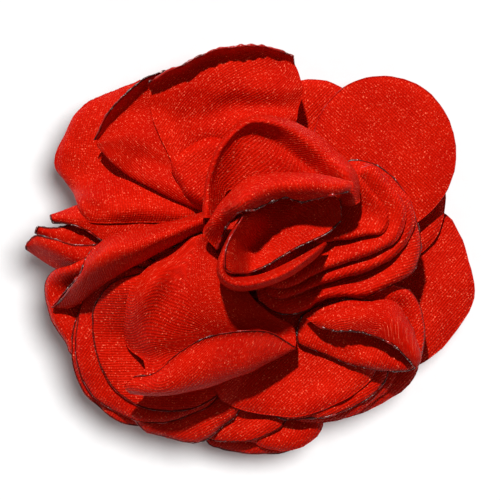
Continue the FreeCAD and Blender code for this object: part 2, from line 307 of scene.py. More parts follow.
def satin(tree, shader):
    """Ribbed satin: woven ribs with painted shade along them, painted glints where crossing threads catch the
    light, a singed line at the cut edge.
    """
    cloth = node(tree, "UVMap", uv_map="cloth").outputs["UV"]
    wobble = node(tree, "TexNoise", {"Vector": cloth, "Scale": 0.30, "Detail": 2.0}).outputs["Color"]
    bent = mix(tree, 0.25, (0.0, 0.0, 0.0), wobble)
    at = node(tree, "VectorMath", {0: cloth, 1: bent}, operation="ADD").outputs[0]
    waves = TAU / (20 * RIB_PITCH)
    weave = {"Vector": at, "Scale": waves, "Distortion": 0.8, "Detail": 2.0, "Detail Scale": 1.6}
    rib = node(tree, "TexWave", weave, wave_type="BANDS", bands_direction="X").outputs["Fac"]
    cross = node(tree, "TexWave", weave, wave_type="BANDS", bands_direction="Y").outputs["Fac"]
    grain = noise(tree, at, 2.4, 3.0, Roughness=0.8)
    patches = noise(tree, cloth, 0.08, 3.0)

    dye_and_painted_light = ramp(tree, patches, (0.35, RED), (0.65, BRIGHT_RED))
    # Darker bands along the ribs: painted shade in the grooves between them
    dye_and_painted_light = mix(tree, math_node(tree, "MULTIPLY", rib, 0.40), dye_and_painted_light, DEEP_RED)
    dye_and_painted_light = mix(tree, ramp(tree, grain, (0.36, (0.65, 0.65, 0.65)), (0.50, BLACK)), dye_and_painted_light, DEEP_RED)
    # Painted glints: pale orange added to the colour on the brightest grain, standing in for light caught by
    # crossing threads
    painted_glint = ramp(tree, grain, (0.61, BLACK), (0.72, PAINTED_GLINT))
    dye_and_painted_light = mix(tree, 1.0, dye_and_painted_light, painted_glint, "ADD")
    rim = node(tree, "Attribute", attribute_name="rim", attribute_type="GEOMETRY").outputs["Fac"]
    uneven = noise(tree, cloth, 0.5, 3.0)
    reach = math_node(tree, "SUBTRACT", rim, math_node(tree, "MULTIPLY", uneven, 0.7))
    burnt = ramp(tree, reach, (0.0, (0.85, 0.85, 0.85)), (0.12, BLACK))
    dye_and_painted_light = mix(tree, burnt, dye_and_painted_light, SINGED)
    tree.links.new(dye_and_painted_light, shader.inputs["Base Color"])

    height = math_node(tree, "ADD", rib, math_node(tree, "MULTIPLY", cross, 0.35))
    height = math_node(tree, "ADD", height, math_node(tree, "MULTIPLY", grain, 2.0))
    relief(tree, shader, height, strength=0.6, distance=0.00014)
    rough = node(tree, "MapRange", {"Value": grain, "To Min": 0.60, "To Max": 0.26})
    tree.links.new(rough.outputs[0], shader.inputs["Roughness"])
    settle(shader, {"Specular IOR Level": 0.11, "Specular Tint": (1.0, 0.20, 0.12, 1)})


def singed_edge(tree, shader):
    """Melted bead of the cut edge: dyed red, browned in patches, with pale specks painted as glints of the
    glassy bead.
    """
    at = place(tree)
    specks = noise(tree, at, 2400.0, 2.0)
    patches = noise(tree, at, 130.0, 3.0)
    base = ramp(tree, patches, (0.47, SINGED), (0.58, (0.34, 0.004, 0.001)))
    # Painted glints: pale specks added to the colour of the browned patches, standing in for light on the
    # glassy bead
    pale = ramp(tree, specks, (0.60, BLACK), (0.68, PALE_PAINTED_GLINT))
    pale = mix(tree, ramp(tree, patches, (0.44, WHITE), (0.54, BLACK)), BLACK, pale)
    tree.links.new(mix(tree, 1.0, base, pale, "ADD"), shader.inputs["Base Color"])
    relief(tree, shader, specks, strength=0.6, distance=0.0001)
    settle(shader, {"Roughness": 0.28, "Specular IOR Level": 0.4})


def melted_edge(tree, shader):
    """Bead of a cut edge that melted without browning."""
    at = place(tree)
    specks = noise(tree, at, 1800.0, 2.0)
    tree.links.new(ramp(tree, specks, (0.40, DEEP_RED), (0.62, RED)), shader.inputs["Base Color"])
    settle(shader, {"Roughness": 0.45, "Specular IOR Level": 0.3})


def felt(tree, shader):
    """Pressed felt: matted fibres and mottled, unevenly dyed colour."""
    at = place(tree)
    fibres = noise(tree, at, 1500.0, 6.0, Roughness=0.75)
    tufts = noise(tree, at, 240.0, 3.0)
    shade = ramp(tree, fibres, (0.35, (0.22, 0.004, 0.004)), (0.70, (0.50, 0.022, 0.018)))
    mottled = ramp(tree, tufts, (0.3, (0.7, 0.7, 0.7)), (0.7, WHITE))
    tree.links.new(mix(tree, 1.0, shade, mottled, "MULTIPLY"), shader.inputs["Base Color"])
    height = math_node(tree, "ADD", fibres, tufts)
    relief(tree, shader, height, strength=0.7, distance=0.0003)
    settle(shader, {"Roughness": 0.95, "Sheen Weight": 0.5, "Sheen Tint": (1.0, 0.45, 0.4, 1)})


def thread(tree, shader):
    """Twisted sewing thread."""
    at = place(tree)
    twist = {"Vector": at, "Scale": 900.0, "Distortion": 1.0}
    waves = node(tree, "TexWave", twist, bands_direction="DIAGONAL")
    ply = waves.outputs["Fac"]
    # Darker bands along the twist: painted shade between the plies
    shade = ramp(tree, ply, (0.1, (0.20, 0.004, 0.003)), (0.8, (0.55, 0.020, 0.012)))
    tree.links.new(shade, shader.inputs["Base Color"])
    relief(tree, shader, ply, strength=0.6, distance=0.0001)
    settle(shader, {"Roughness": 0.6})


def nickel(tree, shader):
    """Nickel-plated steel strip: rolling lines, fine scratches and a few dull patches."""
    at = place(tree)
    drawn = node(tree, "Mapping", {"Vector": at, "Scale": (60.0, 4200.0, 4200.0)}).outputs[0]
    lines = noise(tree, drawn, 1.0, 4.0)
    dull = noise(tree, at, 160.0, 4.0)
    shade = ramp(tree, dull, (0.3, (0.52, 0.51, 0.49)), (0.7, (0.70, 0.69, 0.67)))
    tree.links.new(shade, shader.inputs["Base Color"])
    rough = node(tree, "MapRange", {"Value": lines, "To Min": 0.16, "To Max": 0.42})
    tree.links.new(rough.outputs[0], shader.inputs["Roughness"])
    relief(tree, shader, lines, strength=0.15, distance=0.00005)
    settle(shader, {"Metallic": 1.0})


def spring_wire(tree, shader):
    """Drawn spring wire, darker than the plated strip."""
    at = place(tree)
    marks = noise(tree, at, 1800.0, 4.0)
    shade = ramp(tree, marks, (0.3, (0.30, 0.29, 0.28)), (0.7, (0.46, 0.45, 0.43)))
    tree.links.new(shade, shader.inputs["Base Color"])
    rough = node(tree, "MapRange", {"Value": marks, "To Min": 0.25, "To Max": 0.5})
    tree.links.new(rough.outputs[0], shader.inputs["Roughness"])
    settle(shader, {"Metallic": 1.0})


def hot_glue(tree, shader):
    """Set hot-melt glue: waxy and slightly cloudy."""
    at = place(tree)
    cloud = noise(tree, at, 420.0, 3.0)
    shade = ramp(tree, cloud, (0.3, (0.60, 0.55, 0.42)), (0.7, (0.82, 0.78, 0.66)))
    tree.links.new(shade, shader.inputs["Base Color"])
    relief(tree, shader, cloud, strength=0.3, distance=0.0002)
    settle(shader, {"Roughness": 0.35, "Subsurface Weight": 0.3, "Subsurface Scale": 0.001})


def paper(tree, shader):
    """Plain white ground with a trace of its own light, so that the shadow stays pale."""
    at = place(tree)
    grain = noise(tree, at, 300.0, 2.0)
    shade = ramp(tree, grain, (0.3, (0.78, 0.78, 0.78)), (0.7, (0.80, 0.80, 0.80)))
    tree.links.new(shade, shader.inputs["Base Color"])
    settle(shader, {
        "Roughness": 0.9,
        "Specular IOR Level": 0.0,
        "Emission Color": (1, 1, 1, 1),
        "Emission Strength": 0.03,
    })


SATIN = material("satin_red", satin)
EDGE = material("satin_singed_edge", singed_edge)
DYED_EDGE = material("satin_melted_edge", melted_edge)
FELT = material("felt_red", felt)
THREAD = material("thread_red", thread)
NICKEL = material("nickel_plate", nickel)
WIRE = material("spring_wire", spring_wire)
GLUE = material("hot_glue", hot_glue)
PAPER = material("paper_white", paper)


# ---- mesh pieces


def add_piece(name, points, faces, materials, slot, body="flower", face_slots=None):
    """Mesh object from points in millimetres, riding on a body, with its materials; the finish slot argument
    is not used.
    """
    mesh = bpy.data.meshes.new(name)
    mesh.from_pydata((np.asarray(points, float) * MM).tolist(), [], faces)
    for made in materials:
        mesh.materials.append(made)
    mesh.polygons.foreach_set("use_smooth", [True] * len(mesh.polygons))
    if face_slots is not None:
        mesh.polygons.foreach_set("material_index", face_slots)
    mesh.update()
    piece = bpy.data.objects.new(name, mesh)
    bpy.context.scene.collection.objects.link(piece)
    if body:
        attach(piece, body)
    return piece


def grid_faces(rows, columns, closed):
    """Quads over a grid of points."""
    faces = []
    for i in range(rows - 1):
        here, following = i * columns, (i + 1) * columns
        for j in range(columns if closed else columns - 1):
            k = (j + 1) % columns
            faces.append((here + j, here + k, following + k, following + j))
    return faces


def gather(parts):
    """One set of points and faces from several."""
    points, faces, first = [], [], 0
    for more, around in parts:
        points.append(more)
        faces += [tuple(first + k for k in face) for face in around]
        first += len(more)
    return np.concatenate(points), faces


def tube(path, radii, sides=6, closed=False):
    """Points and faces of a tube round a path; radii is one number or one for each point."""
    path = np.asarray(path, float)
    count = len(path)
    if closed:
        way = np.roll(path, -1, axis=0) - np.roll(path, 1, axis=0)
    else:
        way = np.gradient(path, axis=0)
    way /= np.maximum(np.linalg.norm(way, axis=1, keepdims=True), 1e-9)
    up = np.tile([0.0, 0.0, 1.0], (count, 1))
    up[np.abs(way[:, 2]) > 0.95] = (0.0, 1.0, 0.0)
    side = np.cross(way, up)
    side /= np.linalg.norm(side, axis=1, keepdims=True)
    over = np.cross(side, way)
    turn = np.linspace(0, TAU, sides, endpoint=False)
    ring = np.cos(turn)[None, :, None] * side[:, None] + np.sin(turn)[None, :, None] * over[:, None]
    points = path[:, None] + ring * np.broadcast_to(radii, count)[:, None, None]
    faces = grid_faces(count, sides, True)
    if closed:
        last = (count - 1) * sides
        faces += [(last + j, last + (j + 1) % sides, (j + 1) % sides, j) for j in range(sides)]
    else:
        faces += [tuple(range(sides))[::-1], tuple(range((count - 1) * sides, count * sides))]
    return points.reshape(-1, 3), faces


def lengths(grid, axis):
    """Distance along a grid's lines from their first point."""
    step = np.linalg.norm(np.diff(grid, axis=axis), axis=-1)
    first = np.zeros_like(np.take(step, [0], axis=axis))
    return np.concatenate([first, np.cumsum(step, axis=axis)], axis=axis)


def thicken(grid, closed, gauge):
    """Points and faces of a sheet with two skins and the strips that join them along each edge."""
    away = normals(grid, closed) * gauge / 2
    rows, columns = grid.shape[:2]
    count = rows * columns
    skin = grid_faces(rows, columns, closed)
    faces = skin + [tuple(count + i for i in face[::-1]) for face in skin]
    index = np.arange(count).reshape(rows, columns)
    around = [(index[-1], closed)] + ([] if closed else [(index[0][::-1], False)])
    if not closed:
        around += [(index[:, 0], False), (index[::-1, -1], False)]
    strips = []
    for line, loops in around:
        following = np.roll(line, -1)
        for a, b in list(zip(line, following))[:None if loops else -1]:
            strips.append((int(b), int(a), int(a) + count, int(b) + count))
    if closed:
        faces += [tuple(range(columns))[::-1], tuple(range(count, count + columns))]
    return np.concatenate([grid + away, grid - away]).reshape(-1, 3), faces, strips


STACK = Stack()


def map_weave(mesh, grid, closed, ribs, beads):
    """Lay the cloth's weave on a petal's two skins, in millimetres, its ribs at an angle in degrees."""
    if closed:
        flat = grid[..., :2]
    else:
        flat = np.stack([lengths(grid, 1), lengths(grid, 0)], axis=-1)
    x, y, angle = flat[..., 0], flat[..., 1], math.pi / 2 - math.radians(ribs)
    along = x * math.cos(angle) - y * math.sin(angle)
    across = x * math.sin(angle) + y * math.cos(angle)
    spun = np.stack([along, across], axis=-1).reshape(-1, 2)
    spun = np.concatenate([spun, spun, np.zeros((beads, 2))])
    corner = np.empty(len(mesh.loops), int)
    mesh.loops.foreach_get("vertex_index", corner)
    mesh.uv_layers.new(name="cloth").data.foreach_set("uv", spun[corner].ravel())


def petal(name, node_name, rows, closed=False, wave=0.35, held="gathered", frayed=0.0, cut="large",
          cut_sides=False, ribs=45, singed=True, seed=0):
    """One satin petal: lofted, crumpled a little, laid on the stack, given thickness and a melted edge."""
    grid = loft(rows, closed) + (0, 0, FELT_TOP)
    toward_rim = np.linspace(0, 1, ALONG)[:, None]
    folds = ripples(grid[..., :2], seed, FOLD_LENGTH)
    creases = ripples(grid[..., :2], seed + 50, CREASE_LENGTH)
    bend = wave * folds + 0.3 * wave * creases
    bend = bend * (0.4 + 0.6 * toward_rim)
    grid = grid + normals(grid, closed) * bend[..., None]
    grid[-1, :, 2] += 0.6 * frayed * ripples(grid[-1, :, :2], seed + 3, 2.4)
    grid = STACK.lay(grid, closed)

    to_end = lengths(grid[::-1], 0)[::-1]
    rim = to_end if singed else to_end + 1.0
    if cut_sides:
        from_side = lengths(grid, 1)
        rim = np.minimum(rim, np.minimum(from_side, from_side[:, -1:] - from_side))
    points, faces, strips = thicken(grid, closed, SATIN_GAUGE)
    edge = np.concatenate([grid[:-1, 0], grid[-1], grid[-2::-1, -1]]) if cut_sides else grid[-1]
    bead = BEAD_RADIUS * (1 + 2 * frayed) * (1 + 0.5 * ripples(edge[:, :2], seed + 7, 1.6))
    bead_points, bead_faces = tube(edge, np.clip(bead, *BEAD_LIMITS), 6, closed)
    edging = strips + [tuple(len(points) + i for i in face) for face in bead_faces]
    piece = add_piece(name, np.concatenate([points, bead_points]), faces + edging,
                      [SATIN, EDGE if singed else DYED_EDGE], "satin",
                      face_slots=[0] * len(faces) + [1] * len(edging))
    mesh = piece.data
    rims = np.concatenate([rim.ravel(), rim.ravel(), np.zeros(len(bead_points))])
    mesh.attributes.new("rim", "FLOAT", "POINT").data.foreach_set("value", rims)
    map_weave(mesh, grid, closed, ribs, len(bead_points))

    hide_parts(node_name)
    return piece


def lobe(name, node_name, outline, centre, middle_z, rim_z, roll=0.5, **more):
    """Round petal that lies nearly flat, drawn from its middle out to its outline."""
    return petal(name, node_name, lobe_rows(outline, centre, middle_z, rim_z, roll), closed=True, **more)


def tongue(name, node_name, stations, rise, **more):
    """Round petal folded in half, seen edge on: at each station, its fold, its cut edges and its height."""
    rows = []
    for (fold_x, fold_y), (edge_x, edge_y), z in stations:
        middle = ((fold_x + edge_x) / 2, (fold_y + edge_y) / 2)
        rows.append([(edge_x, edge_y, z), (*middle, z), (fold_x, fold_y, z + rise / 2), (*middle, z + rise),
                     (edge_x, edge_y, z + 0.8 * rise)])
    return petal(name, node_name, rows, held="folded", cut_sides=True, **more)


def make_outer_petals():
    """Flat round lobes and folded tongues of the lowest whorl, with the middle whorl's tongue among them."""
    lobe("petal_right_low", "outer_petal_01", [
        (14, -6), (20, 8), (34, 13), (46, 10), (51, 5), (54, -4), (55, -12), (51.5, -18.5), (47, -24),
        (40, -28.5), (28, -29), (18, -20),
    ], (34, -9), 0.2, -1.2, roll=0.4, ribs=50, cut="largest", singed=False, seed=1)
    lobe("petal_right_middle", "outer_petal_02", circle_outline((30, 13), 18, 2), (30, 13), 1.5, 1, ribs=40,
         singed=False, seed=2)
    lobe("petal_top_right_low", "outer_petal_03", circle_outline((14, 24), 18, 3), (14, 24), 2, 1.5,
         singed=False, seed=3)
    tongue("tongue_left_middle", "middle_petal_06", [
        ((-17, -6), (-17, 6.6), 5), ((-30, -5), (-31, 7), 5), ((-38, -2.6), (-38.5, 7), 5),
        ((-43.5, -0.2), (-43, 6.6), 5), ((-48.4, 2.2), (-47.6, 5.6), 5.4), ((-52.6, 4.4), (-52, 5.9), 5.6),
    ], 2.2, wave=0.2, frayed=0.3, seed=26)
    tongue("tongue_left_high", "outer_petal_12", [
        ((-14, 14), (-14, 1.5), 6.3), ((-26, 14.5), (-27, 1), 6.3), ((-34, 13.5), (-34.5, 1.6), 6.3),
        ((-39.5, 11.8), (-39.5, 4.8), 6.3), ((-45, 9.9), (-44, 6.5), 6.3), ((-48.9, 8.8), (-48.3, 6.9), 6.3),
    ], 2.6, wave=0.2, frayed=0.3, seed=12)
    petal("petal_upper_left", "outer_petal_04", [
        [(-8, 7, 1.5), (-7, 10, 2.5), (-6, 14, 3.5), (-6, 19, 3.5), (-5, 24, 3.5), (-5, 28, 3.5)],
        [(-20, 6.8, 1.5), (-19, 10, 3.5), (-17, 17, 4.5), (-16, 24, 4.5), (-13, 31, 4.5), (-9, 36, 4)],
        [(-31, 7, 0.5), (-30, 11, 4), (-28, 18, 5), (-26, 27, 5), (-22, 35, 5), (-17, 41, 4)],
        [(-38.5, 7, -0.5), (-36.5, 10.5, 1.5), (-38, 17, 4.8), (-36, 27, 5), (-32, 35, 5), (-24, 41, 4)],
        [(-40, 8, -0.8), (-42, 12.5, 0.5), (-45.5, 18.5, 3.5), (-44, 28, 4), (-38.5, 35.5, 4),
         (-26, 41.6, 3.6)],
        [(-40.8, 8.8, -1.2), (-43.4, 14, -0.5), (-48, 20.8, 1.5), (-45.8, 27.8, 2), (-40.2, 36.4, 2.5),
         (-27, 42, 3)],
    ], wave=0.4, ribs=0, cut="largest", singed=False, seed=4)
    tongue("tongue_left_low", "outer_petal_05", [
        ((-19, -7), (-19, 3), 3), ((-30, -9), (-31, 2), 3), ((-42.5, -6.4), (-42, 1.4), 3.2),
        ((-47.4, -4.2), (-48, 2.9), 3.4), ((-52, -1.6), (-52.2, 3.8), 3.6), ((-55, 0.2), (-54.6, 2), 4),
    ], 2.8, wave=0.2, frayed=0.2, seed=5)
    lobe("petal_left_low", "outer_petal_06", [
        (-44, -3.5), (-48.2, -5), (-50.3, -8), (-50, -13), (-48, -18.6), (-45.8, -22.6), (-43.4, -26),
        (-35, -26), (-24, -18), (-20, -6), (-31, 0),
    ], (-34, -12), 3, 4, roll=1.4, ribs=120, seed=6)
    lobe("petal_lower_left_low", "outer_petal_07", [
        (-43, -18), (-43.7, -24.5), (-43.2, -29), (-41, -34.4), (-37, -38.4), (-33.1, -41.4), (-28, -43),
        (-18, -42), (-8, -32), (-10, -14), (-24, -6), (-38, -10),
    ], (-25, -25), 4, 2.5, ribs=60, cut="largest", seed=7)
    lobe("petal_bottom", "outer_petal_09", [
        (-10.8, -46.5), (-7.6, -48.5), (-4, -49.5), (2.8, -49.9), (8.1, -49.6), (13, -47), (16, -40),
        (10, -25), (-4, -24), (-12, -36),
    ], (2, -38), 1.5, -0.5, seed=9)
    lobe("petal_bottom_upper", "outer_petal_10", [
        (-2, -44), (0.8, -46.9), (4.9, -48.7), (8.3, -49.3), (12.2, -48.4), (15.4, -46.4), (17.2, -43.9),
        (17.6, -40), (15, -31), (4, -27), (-6, -34),
    ], (7, -38), 2.6, 1, ribs=55, cut="medium", singed=False, seed=10)
    lobe("petal_bottom_middle", "outer_petal_13", [
        (-11.6, -45.8), (-7.6, -46.7), (-2.4, -46.8), (1.8, -46.2), (5.5, -44.5), (8.2, -42.3), (11, -36),
        (7, -26), (-6, -25), (-14, -32), (-15, -41),
    ], (-1, -36), 4, 3, roll=0.3, ribs=35, cut="medium", seed=13)
    lobe("petal_bottom_left", "outer_petal_08", [
        (-27, -42.6), (-22.4, -45.2), (-15.2, -46.8), (-10.6, -45.6), (-6.2, -42.6), (-3.2, -39.8), (0, -31),
        (-8, -18), (-22, -22), (-30, -34),
    ], (-14, -32), 3.5, 3, roll=0.9, frayed=0.3, ribs=30, seed=8)
    lobe("petal_lower_right_low", "outer_petal_11", [
        (41, -25), (40.9, -29), (39.2, -32), (36.4, -34.8), (31, -37.9), (21.8, -41.2), (14, -42), (8, -34),
        (14, -20), (28, -12), (38, -18),
    ], (26, -28), 2.6, 0.6, singed=False, seed=11)
    lobe("petal_lower_right_edge", "outer_petal_14", [
        (37, -23), (36.4, -29), (34.4, -33.4), (31.2, -36.2), (25.7, -39.6), (18, -41.6), (11, -41),
        (6, -33), (10, -20), (24, -12), (35, -15),
    ], (23, -28), 4, 2.2, singed=False, seed=14)


def make_middle_petals():
    """Second whorl: the big disc, the folded pair at the top left, the stacked lobes at the bottom."""
    lobe("petal_upper_right", "middle_petal_01", [
        (15.5, 25), (17.5, 34), (24, 40.6), (33, 42.6), (42, 39.8), (48.2, 32.5), (50.2, 24), (48.5, 16),
        (44, 9.5), (38, 6), (29, 7), (20, 14),
    ], (32.8, 24), 6.8, 6.2, roll=0.2, wave=0.2, ribs=-45, singed=False, seed=21)
    petal("petal_folded_left", "middle_petal_02", [
        [(-11, 10.6, 5), (-17.4, 13.4, 5.2), (-23.6, 17, 6), (-29, 19.8, 7), (-33.4, 22.8, 8),
         (-37, 25.6, 9)],
        [(-11, 9.5, 6.6), (-17.7, 12.2, 7), (-24, 15.6, 8), (-29.4, 18.4, 9), (-34, 21.9, 10),
         (-37.3, 25.5, 10)],
        [(-13, 13.6, 9), (-17.8, 17.5, 9.8), (-23.6, 21.5, 10.6), (-29, 23.6, 11), (-33.6, 25, 10.8),
         (-37.3, 25.8, 10.4)],
        [(-14, 18, 9.6), (-18.5, 22.4, 10.8), (-23.5, 26.4, 11.8), (-28.4, 28.1, 12), (-32.5, 27.8, 11.4),
         (-37.4, 26.3, 10.6)],
        [(-13, 24, 7.5), (-17, 30, 8.4), (-23, 33, 9), (-28, 33, 9.2), (-32.7, 31, 9.4), (-37.2, 26.8, 10.2)],
        [(-14, 33, 8), (-18, 38.4, 9), (-22.6, 40.4, 9.8), (-27.2, 38, 9.8), (-32.6, 33.4, 9.8),
         (-37.3, 27, 10.2)],
        [(-14, 40, 10), (-19, 43.6, 12), (-24, 42.5, 13.2), (-28.4, 39.5, 13.4), (-34.6, 33.2, 13),
         (-37.7, 26.8, 11)],
    ], wave=0.25, held="folded", frayed=0.15, ribs=15, seed=22)
    petal("petal_top_hood", "middle_petal_03", [
        [(-16, 15, 7), (-12, 18, 9), (-8, 21, 10), (-3, 23, 11), (2, 24, 11.5), (6, 25, 11), (10, 27, 10)],
        [(-20, 23.5, 9.5), (-15, 26, 11), (-10, 28, 12), (-4, 30, 13.5), (1, 31, 15), (6, 31, 15.2),
         (11.1, 31.4, 13)],
        [(-23.2, 30.5, 10.5), (-17, 32, 11.5), (-11, 33, 12), (-5, 34.5, 12.6), (1, 35, 13.3),
         (6.5, 35, 13.3), (11.6, 34.5, 12.5)],
        [(-24.8, 36.6, 11.6), (-18.5, 37.5, 13), (-12, 38.5, 14), (-6, 39, 14.6), (1, 39, 15), (7, 39, 14.8),
         (12.6, 38.5, 12.5)],
        [(-24.8, 39.3, 12.4), (-18.3, 40.5, 13.4), (-12.5, 42.5, 14.2), (-6.5, 44, 14.4), (0.5, 43.6, 14),
         (7, 43.6, 13.4), (12, 42, 12.6)],
        [(-24.6, 40.4, 14), (-18, 42.9, 14.4), (-13, 45.4, 14.6), (-7, 47.4, 14.4), (0, 48, 13.8),
         (6.5, 46.8, 13.4), (10.9, 45, 12)],
        [(-24.2, 40.7, 16), (-18.2, 44.1, 18.4), (-13.3, 46.5, 19), (-7.2, 48.9, 18.6), (-0.1, 49.8, 17.6),
         (6.2, 48.6, 16), (10.4, 46.8, 14.5)],
    ], wave=0.45, held="folded", frayed=0.5, ribs=25, cut="largest", seed=23)
    lobe("petal_lower_left_middle", "middle_petal_04", [
        (-41.4, -13.2), (-42.3, -19), (-42.7, -24.5), (-41.8, -29.8), (-39, -34.6), (-34.4, -38.8),
        (-28.6, -41.4), (-22.4, -41.9), (-16, -40.6), (-8, -36), (-4, -24), (-12, -10), (-28, -4), (-38, -7),
    ], (-23, -22), 6, 4.5, roll=0.7, ribs=55, cut="largest", seed=24)
    lobe("petal_lower_right_middle", "middle_petal_05", [
        (20, -12), (30, -16), (34, -23), (33.6, -30), (31, -33.8), (28, -36.3), (22.6, -39), (15.3, -41),
        (6, -40), (2, -28), (8, -16),
    ], (19, -27), 5.5, 4, frayed=0.3, ribs=30, seed=25)
    lobe("petal_right_edge", "middle_petal_11", [
        (37, -9), (39.6, -10.6), (41.3, -13), (42.6, -17.1), (42.9, -20.6), (42.1, -25.4), (40.4, -28.2),
        (34, -28), (26, -22), (24, -13), (30, -8),
    ], (34, -18), 7.5, 8, roll=0.9, cut="small", seed=15)
    lobe("petal_lower_left_high", "middle_petal_07", [
        (-37.6, -13), (-38.3, -18), (-38, -23.2), (-36.7, -27.8), (-34.4, -32.3), (-31.1, -35.6),
        (-26.4, -38.1), (-21.1, -39), (-15.8, -38.9), (-11.6, -37.6), (-7, -34), (-4, -26), (-8, -14),
        (-20, -6), (-32, -7),
    ], (-21, -22), 8.5, 7.5, roll=0.3, wave=0.2, ribs=0, seed=27)
    lobe("petal_bottom_disc", "middle_petal_08", [
        (-7.7, -35.6), (-4.2, -37.9), (0.6, -39.4), (5.6, -40.2), (10.8, -40.5), (16, -39.4), (21, -37.3),
        (26, -34.4), (30.2, -29.8), (30, -20), (20, -10), (6, -10), (-5, -20), (-9, -29),
    ], (11, -26), 7, 6, roll=0.3, wave=0.2, ribs=45, singed=False, cut="largest", seed=28)
    petal("petal_tube_left", "middle_petal_09", [
        [(-11, 7.3, 9.4), (-10.5, 5, 11), (-11, 6.2, 15), (-11, 7.5, 16), (-11, 8.6, 14.5), (-11, 9.5, 10.6),
         (-11, 6.6, 9.9)],
        [(-17.2, 5.4, 7.8), (-17.2, 2.2, 9), (-18, 3.6, 14), (-17.5, 5.2, 15.2), (-17, 6.4, 13.6),
         (-17, 7.6, 9), (-17.2, 4.2, 8.3)],
        [(-25, 3, 6.4), (-25, -1.8, 7.5), (-26, 0.2, 13), (-25.5, 2.3, 14.4), (-24.5, 4.1, 13),
         (-24, 6, 8.5), (-25, 1.2, 7)],
        [(-34, -1, 5), (-34, -7, 6), (-35, -4.2, 12), (-34, -0.5, 14), (-33, 1.9, 12.5), (-33, 3.8, 7.5),
         (-34, -3, 5.6)],
        [(-40.5, -5, 5.4), (-43.4, -13.3, 5.5), (-42, -9.5, 10.5), (-39.5, -4.6, 13), (-38, -1.5, 12.5),
         (-36, 2.2, 8.5), (-40.4, -6.4, 6)],
        [(-42, -6.4, 6.4), (-48.2, -13.4, 6.5), (-46, -11.8, 9.5), (-41.2, -6, 12), (-39.9, -2.4, 12),
         (-38, 0.4, 9.5), (-42, -7.4, 7)],
    ], wave=0.15, held="folded", frayed=0.3, ribs=0, cut="largest", seed=29)
    lobe("petal_right_fold_low", "middle_petal_10", [
        (11.8, -21), (14.7, -23.3), (18, -24.9), (21.9, -26.8), (25, -28), (28.6, -28.5), (34.2, -29.1),
        (40, -28.8), (40.4, -23.5), (36, -14), (24, -12), (14, -15),
    ], (27, -20), 9, 8.4, roll=0.5, wave=0.6, frayed=0.3, ribs=65, cut="slim", seed=30)


